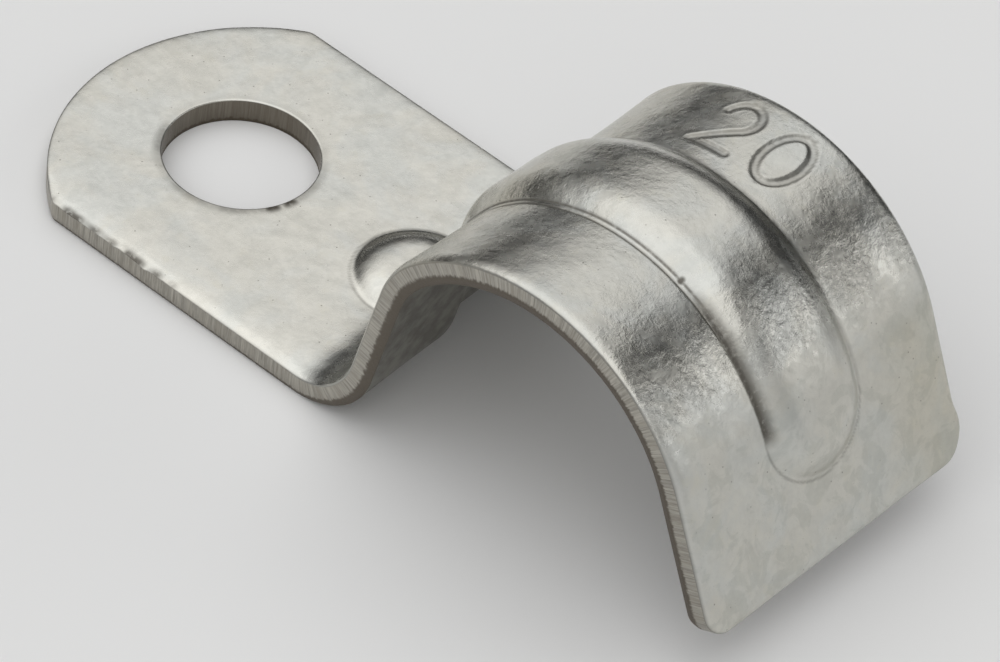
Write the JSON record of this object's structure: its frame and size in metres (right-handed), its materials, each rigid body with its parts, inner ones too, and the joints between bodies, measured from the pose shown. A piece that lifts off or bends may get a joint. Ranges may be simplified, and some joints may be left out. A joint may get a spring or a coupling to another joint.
{
  "type": "conduit strap",
  "caption": "Screw-down conduit strap in plated steel sheet: flat pad with a screw hole, folded riser, arched saddle with a pressed rib, and a flared free leg.",
  "frame": {"origin": "centre of the screw hole on the face of the pad that lies on the wall", "axes": "+Z out from the wall along the screw, +X along the strip from the hole to the free end, +Y across the strip, along the conduit"},
  "size_m": [0.051, 0.02, 0.018],
  "materials": {
    "plated_steel": "zinc plating, satin, slightly mottled"
  },
  "bodies": {
    "root": {"strap": "plated_steel"}
  },
  "joints": []
}
